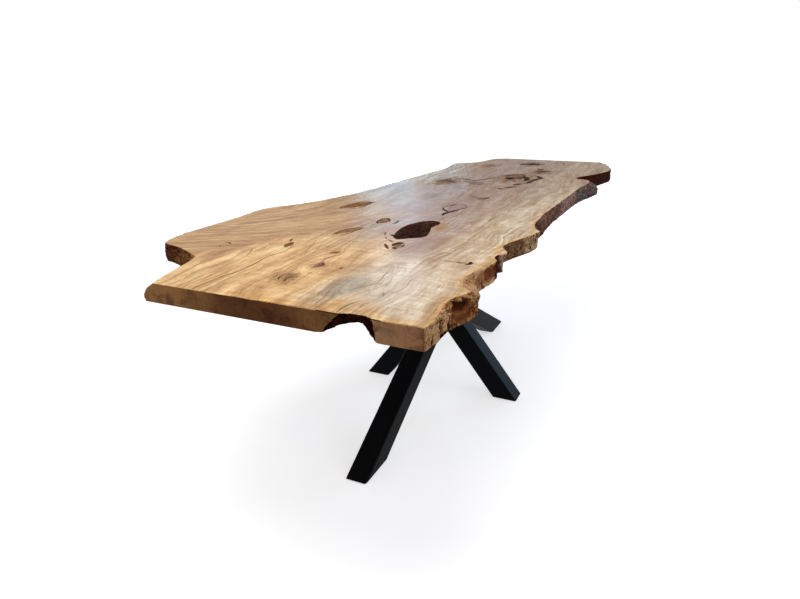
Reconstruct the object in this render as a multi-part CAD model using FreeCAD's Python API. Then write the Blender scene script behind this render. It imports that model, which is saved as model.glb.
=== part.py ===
import FreeCAD, Part
import math
import os

V = FreeCAD.Vector

# Live edge dining table: one wide slab with natural edges, screwed to a welded spider
# base of square steel tube. Lengths are in millimetres, +Z is up and the floor is z = 0.
# The slab's grain runs along X. The model is drawn about the hub of the base, and is
# moved at the end so that the middle of the slab's bounding box stands over the origin.
# The slab is the widest piece both ways, so its box is also the table's box in plan.

# ---------------------------------------------------------------- driving dimensions

# Slab
TABLE_HEIGHT = 760.0  # floor to the top face
SLAB_THICK = 50.0
SLAB_LENGTH = 2275.0  # of the top face, along the grain
SLAB_WIDTH = 1032.0  # of the top face, across its widest lobes
SHOULDER_DEPTH = 14.0  # top face down to the turn of the live edge
SHOULDER_SHARE = 0.7  # share of the underside's flare that is reached there
BELLY_RISE = 16.0  # underside up to where the live edge stands furthest out
BELLY_SHARE = 1.15

# Square steel tube
TUBE_SIDE = 75.0
TUBE_WALL = 3.0
TUBE_CORNER = 6.0  # outside radius of the tube's long corners
SMALLEST_FILLET = 0.5

# Base: two crossed pairs of tubes through one hub
HUB_HEIGHT = 361.0
LONG_SPREAD = 652.0  # hub to the middle of a foot, along the slab
SHORT_SPREAD = 279.0  # hub to the middle of a foot, across the slab

# Plates and pads at the tube ends
MOUNT_PLATE_THICK = 8.0
MOUNT_PLATE_LIP = 6.0  # plate past the tube's cut end, along the arm
WASHER_MARGIN = 5.0  # washer's rim to the tube's side and to the plate's edge
FOOT_PLATE_THICK = 4.0
GLIDE_THICK = 3.0
GLIDE_INSET = 5.0  # glide's rim inside the foot plate's rim

# Fasteners: M8 screws into threaded inserts
THREAD = 8.0
HOLE_CLEARANCE = 1.0  # slot width over the thread
SLOT_TRAVEL = 8.0  # room for the wood to move across its grain
SLOT_FROM_END = 22.0  # middle of a slot to the plate's end
WASHER_DIAMETER = 24.0
WASHER_THICK = 2.0
HEAD_ACROSS_FLATS = 13.0
HEAD_HEIGHT = 5.3
SCREW_LENGTH = 25.0  # under the head
INSERT_WALL = 2.0
INSERT_LENGTH = 20.0
INSERT_SUNK = 0.5  # insert's mouth above the slab's underside
BORE_SPARE = 4.0  # blind depth past the insert and the screw's tip

# Slab drawing: live edges in order from the near end (-X) to the far end (+X), as
# (x, y, flare). The flare is how much further out the underside stands than the top.
# Each run of points is one smooth stretch, and two runs meet at a natural corner.
LEFT_EDGE = [
    [(-1129, 278, 33), (-1054, 302, 24), (-1000, 316, 16), (-920, 344, 6)],
    [(-920, 344, 6), (-884, 412, 10), (-862, 466, 10), (-852, 521, 2)],
    [
        (-852, 521, 2), (-812, 546, 8), (-757, 557, 18), (-670, 556, 31.5),
        (-583, 550, 26), (-488, 546, 24), (-372, 549, 28), (-329, 537, 30),
        (-290, 510, 24), (-232, 470, 20), (-158, 434, 22), (-66, 401, 28),
        (40, 371, 26), (176, 351, 20), (328, 330, 24), (486, 305, 28),
        (650, 282, 24), (747, 275, 20), (846, 287, 22), (900, 284, 18),
    ],
    [(900, 284, 18), (925, 240, 10), (968, 196, 12), (1072, 162, 18), (1138, 60, 14)],
]
RIGHT_EDGE = [
    [
        (-1129, -424, 0), (-1058, -423, 6), (-1008, -415, 18),
        (-955, -416, 32), (-925, -430, 26), (-893, -437, 14),
    ],
    [
        (-893, -437, 14), (-882, -416, 22), (-850, -398, 34), (-796, -393, 20),
        (-740, -405, 6), (-700, -417, 0), (-655, -421, 0),
    ],
    [(-655, -421, 0), (-640, -409, 0), (-616, -406, 0), (-601, -419, 0)],
    [(-601, -419, -4), (-567, -418, -14), (-545, -405, -10), (-531, -396, -2)],
    [
        (-531, -396, 0), (-490, -400, 0), (-420, -425, 2),
        (-370, -441, 0), (-324, -448, -6),
    ],
    [
        (-324, -448, -6), (-281, -422, 6), (-173, -408, 14), (-98, -406, 12),
        (38, -412, 6), (180, -419, 4), (316, -424, 6), (420, -428, 18),
        (540, -441, 30), (592, -428, 34), (613, -396, 16),
    ],
    [
        (613, -396, 16), (640, -376, 10), (721, -412, 12), (800, -450, 8),
        (893, -474, 2), (985, -458, 0), (1062, -432, -4), (1138, -385, -4),
    ],
]

# Natural void: a bark pocket that goes right through and narrows downwards.
VOID_TOP = [
    (-553, -80), (-520, -62), (-463, -48), (-410, -44), (-360, -58), (-316, -104),
    (-326, -122), (-394, -124), (-431, -133), (-475, -146), (-507, -147), (-536, -116),
]
VOID_UNDER = [
    (-515, -88), (-495, -78), (-455, -70), (-415, -68), (-380, -76), (-356, -98),
    (-366, -110), (-404, -112), (-436, -117), (-466, -124), (-490, -124), (-508, -106),
]

# Bark notch in the near end, as (distance in from the end, y): a nick in the top face
# that opens into a wide scoop at the underside. Its ends lie outside the slab.
NOTCH_TOP = [(-12, -222), (3, -242), (8, -262), (7, -284), (2, -302), (-12, -318)]
NOTCH_UNDER = [
    (-12, -186), (24, -194), (54, -204), (80, -232), (56, -260), (33, -279), (5, -308),
    (-12, -322),
]

# ------------------------------------------------------------------ derived dimensions

BELLY_DEPTH = SLAB_THICK - BELLY_RISE
SLAB_UNDERSIDE = TABLE_HEIGHT - SLAB_THICK
PLATE_UNDERSIDE = SLAB_UNDERSIDE - MOUNT_PLATE_THICK
FOOT_PLATE_TOP = GLIDE_THICK + FOOT_PLATE_THICK
LONG_ANGLE = math.atan2(HUB_HEIGHT, LONG_SPREAD)  # arm above the horizontal
SHORT_ANGLE = math.atan2(HUB_HEIGHT, SHORT_SPREAD)
ARM_RISE = PLATE_UNDERSIDE - HUB_HEIGHT  # hub to the underside of a mounting plate
HUB = V(0, 0, HUB_HEIGHT)
SLOT_WIDTH = THREAD + HOLE_CLEARANCE
INSERT_DIAMETER = THREAD + 2 * INSERT_WALL
SCREW_REACH = SCREW_LENGTH - WASHER_THICK - MOUNT_PLATE_THICK  # into the slab
BORE_DEPTH = max(INSERT_SUNK + INSERT_LENGTH, SCREW_REACH) + BORE_SPARE
BORE_CORNER = max(TUBE_CORNER - TUBE_WALL, SMALLEST_FILLET)  # inside of the tube
MOUNT_PLATE_EAR = WASHER_DIAMETER + 2 * WASHER_MARGIN  # plate past the tube's side
SCREW_LINE = TUBE_SIDE / 2 + MOUNT_PLATE_EAR / 2  # slots to the arm's middle plane
FAR_AWAY = 2 * SLAB_LENGTH  # larger than anything in the model
CUTTER_OVERRUN = 1.0  # cutters reach this far past the faces that they open

# Plan directions of the four arms, and what each is called
ARMS = {
    "near": (V(-1, 0, 0), LONG_ANGLE),
    "far": (V(1, 0, 0), LONG_ANGLE),
    "right": (V(0, -1, 0), SHORT_ANGLE),
    "left": (V(0, 1, 0), SHORT_ANGLE),
}


# ---------------------------------------------------------------------- small helpers

def extent(runs, axis):
    """How far the drawn points reach along one axis."""
    values = [point[axis] for run in runs for point in run]
    return max(values) - min(values)


STRETCH_X = SLAB_LENGTH / extent(LEFT_EDGE + RIGHT_EDGE, 0)
STRETCH_Y = SLAB_WIDTH / extent(LEFT_EDGE + RIGHT_EDGE, 1)
NEAR_END = LEFT_EDGE[0][0][0] * STRETCH_X


def curve(points):
    """One smooth edge through the points."""
    spline = Part.BSplineCurve()
    spline.interpolate(points)
    return spline.toShape()


def box_between(low, high):
    size = high - low
    return Part.makeBox(size.x, size.y, size.z, low)


def upright_edges(box):
    """The four edges of a box that run along Z."""
    return [edge for edge in box.Edges if edge.BoundBox.ZLength > box.BoundBox.ZLength / 2]


def level_slice(shape, low, high):
    """The part of a shape between two heights."""
    wide = V(FAR_AWAY, FAR_AWAY, 0)
    return shape.common(box_between(V(0, 0, low) - wide, V(0, 0, high) + wide))


def biggest_solid(shape):
    """A coped tube without the splinters that the cut leaves inside the joint."""
    return max(shape.Solids, key=lambda solid: solid.Volume)


# -------------------------------------------------------------------------- the slab

def moved_out(run, share, side):
    """The points of one run, pushed outwards by a share of their flare."""
    moved = []
    last = len(run) - 1
    for index, (x, y, flare) in enumerate(run):
        before = run[max(index - 1, 0)]
        after = run[min(index + 1, last)]
        along = V((after[0] - before[0]) * STRETCH_X, (after[1] - before[1]) * STRETCH_Y, 0)
        outward = V(-along.y, along.x, 0) * side
        outward.normalize()
        moved.append(V(x * STRETCH_X, y * STRETCH_Y, 0) + outward * flare * share)
    return moved


def live_edge(runs, share, side):
    """All runs of one live edge at one level, meeting end to end."""
    stretches = [moved_out(run, share, side) for run in runs]
    for first, second in zip(stretches, stretches[1:]):
        corner = (first[-1] + second[0]) * 0.5
        first[-1] = corner
        second[0] = corner
    for end, drawn in ((stretches[0][0], runs[0][0]), (stretches[-1][-1], runs[-1][-1])):
        end.x = drawn[0] * STRETCH_X
        end.y = drawn[1] * STRETCH_Y + side * drawn[2] * share
    return stretches


def slab_outline(depth, share):
    """The slab's closed outline at one depth, sawn straight at both ends."""
    left = live_edge(LEFT_EDGE, share, 1)
    right = live_edge(RIGHT_EDGE, share, -1)
    edges = [Part.makeLine(right[0][0], left[0][0])]
    edges += [curve(run) for run in left]
    edges.append(Part.makeLine(left[-1][-1], right[-1][-1]))
    edges += [curve(run[::-1]) for run in reversed(right)]
    wire = Part.Wire(edges)
    wire.translate(V(0, 0, TABLE_HEIGHT - depth))
    return wire


def closed_curve(points, height):
    spline = Part.BSplineCurve()
    spline.interpolate([V(x * STRETCH_X, y * STRETCH_Y, height) for x, y in points], True)
    return Part.Wire(spline.toShape())


def tapered_cutter(upper, lower):
    """A taper between two outlines that runs on a little past both faces."""
    cutter = Part.makeLoft([upper, lower], True, True)
    for outline, step in ((upper, CUTTER_OVERRUN), (lower, -CUTTER_OVERRUN)):
        cutter = cutter.fuse(Part.Face(outline).extrude(V(0, 0, step)))
    return cutter


def through_void():
    """The bark pocket."""
    upper = closed_curve(VOID_TOP, TABLE_HEIGHT)
    lower = closed_curve(VOID_UNDER, SLAB_UNDERSIDE)
    return tapered_cutter(upper, lower)


def notch_outline(points, height):
    spots = [V(NEAR_END + x, y * STRETCH_Y, height) for x, y in points]
    return Part.Wire([curve(spots), Part.makeLine(spots[-1], spots[0])])


def bark_notch():
    """The scoop in the near end."""
    upper = notch_outline(NOTCH_TOP, TABLE_HEIGHT)
    lower = notch_outline(NOTCH_UNDER, SLAB_UNDERSIDE)
    return tapered_cutter(upper, lower)


def insert_bores():
    """Blind holes in the underside, one for each threaded insert."""
    return [
        Part.makeCylinder(INSERT_DIAMETER / 2, BORE_DEPTH, spot)
        for spot in screw_spots(SLAB_UNDERSIDE)
    ]


def tabletop_slab():
    levels = [
        slab_outline(0.0, 0.0),
        slab_outline(SHOULDER_DEPTH, SHOULDER_SHARE),
        slab_outline(BELLY_DEPTH, BELLY_SHARE),
        slab_outline(SLAB_THICK, 1.0),
    ]
    slab = Part.makeLoft(levels, True, True)
    return slab.cut(through_void()).cut(bark_notch()).cut(Part.makeCompound(insert_bores()))


# ---------------------------------------------------------------------- the steel base

def square_bar(side, corner, direction, angle, start, end):
    """A bar with round corners through the hub, along an arm that rises at an angle."""
    half = side / 2
    section = Part.makeBox(side, side, end - start, V(-half, -half, start))
    bar = section.makeFillet(corner, upright_edges(section))
    plan_angle = math.degrees(math.atan2(direction.y, direction.x))
    bar.rotate(V(0, 0, 0), V(0, 1, 0), 90 - math.degrees(angle))
    bar.rotate(V(0, 0, 0), V(0, 0, 1), plan_angle)
    bar.translate(HUB)
    return bar


def full_reach(angle):
    """Enough length of bar to pass the floor and the slab from the hub."""
    return max(HUB_HEIGHT, ARM_RISE) / math.sin(angle) + 2 * TUBE_SIDE / math.tan(angle)


def outer_bar(direction, angle):
    reach = full_reach(angle)
    return square_bar(TUBE_SIDE, TUBE_CORNER, direction, angle, -reach, reach)


def hollow_tube(direction, angle):
    """A tube through the hub, cut level above the foot plates and below the slab plates."""
    reach = full_reach(angle)
    bore_side = TUBE_SIDE - 2 * TUBE_WALL
    bore = square_bar(bore_side, BORE_CORNER, direction, angle, -reach, reach)
    tube = outer_bar(direction, angle).cut(bore)
    return level_slice(tube, FOOT_PLATE_TOP, PLATE_UNDERSIDE)


def quarter(direction, above):
    """The quarter space on one side of the hub, above or below it."""
    away = direction * FAR_AWAY
    across = V(-direction.y, direction.x, 0) * FAR_AWAY
    rise = V(0, 0, FAR_AWAY if above else -FAR_AWAY)
    corners = [HUB + across, HUB - across + away + rise]
    low = V(*(min(c[i] for c in corners) for i in range(3)))
    high = V(*(max(c[i] for c in corners) for i in range(3)))
    return box_between(low, high)


def base_tubes():
    """One long tube runs through, the rest are halves coped to what they meet."""
    near, angle = ARMS["near"]
    far = ARMS["far"][0]
    through_bar = outer_bar(far, angle)
    crossing_bar = outer_bar(near, angle)
    tubes = {"long_through_tube": hollow_tube(far, angle)}
    crossing = hollow_tube(near, angle).cut(through_bar)
    for name, direction, above in (
        ("near_arm_tube", near, True),
        ("far_leg_tube", far, False),
    ):
        tubes[name] = biggest_solid(crossing.common(quarter(direction, above)))
    for side in ("right", "left"):
        direction, angle = ARMS[side]
        for part, above in (("arm", True), ("leg", False)):
            rising = direction if above else direction * -1
            tube = hollow_tube(rising, angle).common(quarter(direction, above))
            coped = tube.cut(through_bar).cut(crossing_bar)
            tubes[f"{side}_{part}_tube"] = biggest_solid(coped)
    return tubes


def foot_plate(direction, angle):
    """Closes a leg at the floor with the tube's own slanted section."""
    leg = outer_bar(direction * -1, angle).common(quarter(direction, False))
    return level_slice(leg, GLIDE_THICK, FOOT_PLATE_TOP)


def foot_glide(direction, angle):
    """A pad under the foot plate, a little smaller than the plate all round."""
    side = TUBE_SIDE - 2 * GLIDE_INSET
    length = TUBE_SIDE / math.sin(angle) - 2 * GLIDE_INSET
    centre = direction * (HUB_HEIGHT - GLIDE_THICK) * (1 / math.tan(angle))
    pad = Part.makeBox(length, side, GLIDE_THICK, V(-length / 2, -side / 2, 0))
    pad = pad.makeFillet(TUBE_CORNER, upright_edges(pad))
    pad.rotate(V(0, 0, 0), V(0, 0, 1), math.degrees(math.atan2(direction.y, direction.x)))
    pad.translate(centre)
    return pad


# ---------------------------------------------------------- mounting plates and screws

def plate_centre(direction, angle):
    """Where an arm's middle line meets the underside of its mounting plate."""
    return direction * (ARM_RISE / math.tan(angle))


def plate_half_length(angle):
    return TUBE_SIDE / math.sin(angle) / 2 + MOUNT_PLATE_LIP


def slot_spots(direction, angle):
    """The four slot middles of one plate, in plan."""
    across = V(-direction.y, direction.x, 0)
    along = plate_half_length(angle) - SLOT_FROM_END
    centre = plate_centre(direction, angle)
    return [
        centre + direction * (end * along) + across * (side * SCREW_LINE)
        for end in (-1, 1)
        for side in (-1, 1)
    ]


def screw_spots(height):
    """The screw positions of all plates, at one height."""
    return [
        V(spot.x, spot.y, height)
        for direction, angle in ARMS.values()
        for spot in slot_spots(direction, angle)
    ]


def slot(spot):
    """A slot across the grain, so that the slab can swell and shrink."""
    bottom = V(spot.x, spot.y, PLATE_UNDERSIDE)
    half = V(SLOT_WIDTH / 2, SLOT_TRAVEL / 2, 0)
    cut = box_between(bottom - half, bottom + half + V(0, 0, MOUNT_PLATE_THICK))
    for end in (-1, 1):
        middle = bottom + V(0, end * SLOT_TRAVEL / 2, 0)
        cut = cut.fuse(Part.makeCylinder(SLOT_WIDTH / 2, MOUNT_PLATE_THICK, middle))
    return cut


def mount_plate(direction, angle):
    half_length = plate_half_length(angle)
    half_width = TUBE_SIDE / 2 + MOUNT_PLATE_EAR
    across = V(-direction.y, direction.x, 0)
    reach = direction * half_length + across * half_width
    half = V(abs(reach.x), abs(reach.y), 0)
    centre = plate_centre(direction, angle) + V(0, 0, PLATE_UNDERSIDE)
    plate = box_between(centre - half, centre + half + V(0, 0, MOUNT_PLATE_THICK))
    plate = plate.makeFillet(TUBE_CORNER, upright_edges(plate))
    for spot in slot_spots(direction, angle):
        plate = plate.cut(slot(spot))
    return plate


def screw(spot):
    """A hexagon screw from below: head under the washer, shank up into the insert."""
    seat = PLATE_UNDERSIDE - WASHER_THICK
    radius = HEAD_ACROSS_FLATS / math.sqrt(3)
    turns = [math.radians(60 * step) for step in range(7)]
    head_low = V(spot.x, spot.y, seat - HEAD_HEIGHT)
    rim = [head_low + V(radius * math.cos(t), radius * math.sin(t), 0) for t in turns]
    head = Part.Face(Part.makePolygon(rim)).extrude(V(0, 0, HEAD_HEIGHT))
    shank = Part.makeCylinder(THREAD / 2, SCREW_LENGTH, V(spot.x, spot.y, seat))
    return head.fuse(shank).removeSplitter()


def washer(spot):
    low = V(spot.x, spot.y, PLATE_UNDERSIDE - WASHER_THICK)
    ring = Part.makeCylinder(WASHER_DIAMETER / 2, WASHER_THICK, low)
    return ring.cut(Part.makeCylinder(SLOT_WIDTH / 2, WASHER_THICK, low))


def insert(spot):
    low = V(spot.x, spot.y, SLAB_UNDERSIDE + INSERT_SUNK)
    body = Part.makeCylinder(INSERT_DIAMETER / 2, INSERT_LENGTH, low)
    return body.cut(Part.makeCylinder(THREAD / 2, INSERT_LENGTH, low))


# ----------------------------------------------------------------------- all sub-parts

def group(make_piece):
    """One solid for each screw position, kept as separate pieces of one node."""
    return Part.makeCompound([make_piece(spot) for spot in screw_spots(0)])


def sub_parts():
    parts = {"tabletop_slab": tabletop_slab()}
    parts.update(base_tubes())
    for name, (direction, angle) in ARMS.items():
        parts[f"{name}_mount_plate"] = mount_plate(direction, angle)
        parts[f"{name}_foot_plate"] = foot_plate(direction, angle)
        parts[f"{name}_foot_glide"] = foot_glide(direction, angle)
    parts["slab_screws"] = group(screw)
    parts["screw_washers"] = group(washer)
    parts["threaded_inserts"] = group(insert)
    return parts


os.makedirs("parts", exist_ok=True)
pieces = sub_parts()
middle = pieces["tabletop_slab"].optimalBoundingBox(False, False).Center
for name, shape in pieces.items():
    shape.translate(V(-middle.x, -middle.y, 0))
    shape.exportStep(f"parts/{name}.step")
    box = shape.BoundBox
    print(
        f"{name:20s} solids {len(shape.Solids):2d} valid {shape.isValid()}"
        f" volume {shape.Volume / 1000:9.1f} cm3"
        f" x {box.XMin:8.1f} {box.XMax:8.1f} y {box.YMin:7.1f} {box.YMax:7.1f}"
        f" z {box.ZMin:6.1f} {box.ZMax:6.1f}"
    )
print(f"moved by {-middle.x:.2f} {-middle.y:.2f}")
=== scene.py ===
import math
from collections import namedtuple

import bmesh
import bpy
import numpy as np
from mathutils import Matrix, Vector, noise
from mathutils.geometry import delaunay_2d_cdt
from mathutils.kdtree import KDTree


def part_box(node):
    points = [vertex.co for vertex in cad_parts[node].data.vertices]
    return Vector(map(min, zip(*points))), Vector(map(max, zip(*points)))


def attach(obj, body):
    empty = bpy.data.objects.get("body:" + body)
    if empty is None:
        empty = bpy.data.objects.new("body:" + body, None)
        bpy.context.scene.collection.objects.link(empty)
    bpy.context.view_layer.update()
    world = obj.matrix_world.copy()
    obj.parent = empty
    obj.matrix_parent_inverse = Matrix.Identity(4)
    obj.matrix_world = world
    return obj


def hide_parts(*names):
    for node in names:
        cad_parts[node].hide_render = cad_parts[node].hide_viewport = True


# Live edge dining table. Lengths are in metres, +Z is up, the floor is z = 0 and the
# slab's grain runs along X. "Near" is -X, "right" is -Y, as in the names of the parts.

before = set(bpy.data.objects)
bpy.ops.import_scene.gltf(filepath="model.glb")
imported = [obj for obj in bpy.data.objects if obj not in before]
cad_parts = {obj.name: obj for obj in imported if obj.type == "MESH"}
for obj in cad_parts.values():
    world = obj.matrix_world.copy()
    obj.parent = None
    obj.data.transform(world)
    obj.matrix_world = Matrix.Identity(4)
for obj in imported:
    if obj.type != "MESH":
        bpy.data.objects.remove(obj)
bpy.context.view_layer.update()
noise.seed_set(1)  # without a seed noise_vector would differ from run to run

SLAB = "tabletop_slab"
slab_low, slab_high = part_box(SLAB)
TOP = slab_high.z
UNDERSIDE = slab_low.z
NEAR_END = slab_low.x
FAR_END = slab_high.x

# ------------------------------------------------------------------- mesh resolution

WELD = 1e-5  # vertices closer than this are one
FLAT = 2e-5  # how far from a level a vertex may lie and still be on it
SAWN = 1.6e-3  # the same for the sawn ends, which are a little out of true
VOXEL = 0.0035  # size of the live edge's faces
MILLI = 1000.0  # triangulation runs in millimetres, where its tolerance is safe
TOP_SPACING = 0.008
UNDERSIDE_SPACING = 0.045
BORE_WIDEST = 0.02  # walls narrower than this in plan are the insert bores

# ---------------------------------------------------------------------- wood figure

# Knots, patches, eyes and halos on the top, each a spindle. x, y: middle. long, wide:
# half sizes. turn: degrees from +X. fill, rim: colours. body, line: how strongly fill
# and rim show. soft: blur of the outline, as a share of wide. deep: recess.
Mark = namedtuple("Mark", "x y long wide turn fill body rim soft line deep", defaults=(0.0, 0.0))
MARKS = {
    "red_knot": Mark(-0.731, 0.117, 0.030, 0.010, 12, "#54240E", 0.95, "#3E180A", 0.4, 0.5, 0.0006),
    "grey_knot": Mark(-0.980, -0.056, 0.038, 0.030, 15, "#7E6248", 0.8, "#8E6E50", 1.0),
    "purple_knot": Mark(-0.869, -0.072, 0.024, 0.016, 0, "#6E4C50", 0.85, "#5E3E38", 0.7),
    "red_spot": Mark(-0.754, -0.050, 0.015, 0.011, -40, "#7A4430", 0.75, "#5E3020", 0.7),
    "pin_knot": Mark(-0.870, -0.137, 0.006, 0.004, 0, "#5C3A2A", 0.9, "#5C3A2A", 0.5, 0.3),
    "narrow_patch": Mark(-0.528, 0.036, 0.058, 0.018, -27, "#80603E", 0.9, "#4E3620", 0.12),
    "shield_patch": Mark(-0.186, 0.198, 0.080, 0.031, -26, "#76522F", 0.95, "#5C3C24", 0.10),
    "top_eye": Mark(-0.376, -0.006, 0.036, 0.017, 6, "#6E5E4E", 0.8, "#35261F", 0.25, 0.0, 0.0008),
    "bark_eye": Mark(-0.618, -0.174, 0.023, 0.013, 10, "#565242", 0.9, "#15100D", 0.3, 0.0, 0.002),
    "bark_dot": Mark(-0.655, -0.180, 0.010, 0.007, 60, "#3C1C12", 0.9, "#3C1C12", 0.4, 0.3, 0.001),
    "tan_oval": Mark(-0.388, -0.208, 0.044, 0.019, 8, "#A28C62", 0.6, "#B08A5C", 0.5),
    "lens": Mark(-0.116, -0.150, 0.072, 0.026, 3, "#9C8C94", 0.6, "#140E10", 0.4),
    "far_halo": Mark(0.555, -0.175, 0.110, 0.056, -8, "#5C4C3E", 0.66, "#4E3A2C", 1.0),
    "far_brown": Mark(0.745, -0.245, 0.066, 0.036, 8, "#62503A", 0.75, "#3C2818", 0.9),
    "far_knot": Mark(0.965, -0.150, 0.050, 0.046, -10, "#4E3622", 0.85, "#2A190F", 0.9),
    "far_grey": Mark(0.865, 0.034, 0.050, 0.030, 10, "#74685E", 0.6, "#544238", 1.0),
    "far_streak": Mark(0.375, 0.070, 0.075, 0.042, -8, "#5A4C42", 0.75, "#3A2A22", 1.0),
}
MARK_SPACING = 0.0035  # spacing of the mesh on the marks
MARK_REACH = 1.7  # the mesh is fine up to this many times a mark's size from its middle
FAR_FROM_MARKS = 0.045  # distances to a mark's outline are stored up to this
POINTED = 1.45  # 2 draws the marks as ellipses, 1 as diamonds
DENT_EDGE = 1.25  # a recess ends here, in sizes of its mark,
DENT_SLOPE = 0.6  # and its side is this wide
DENT_RAGGED = 0.25

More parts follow.
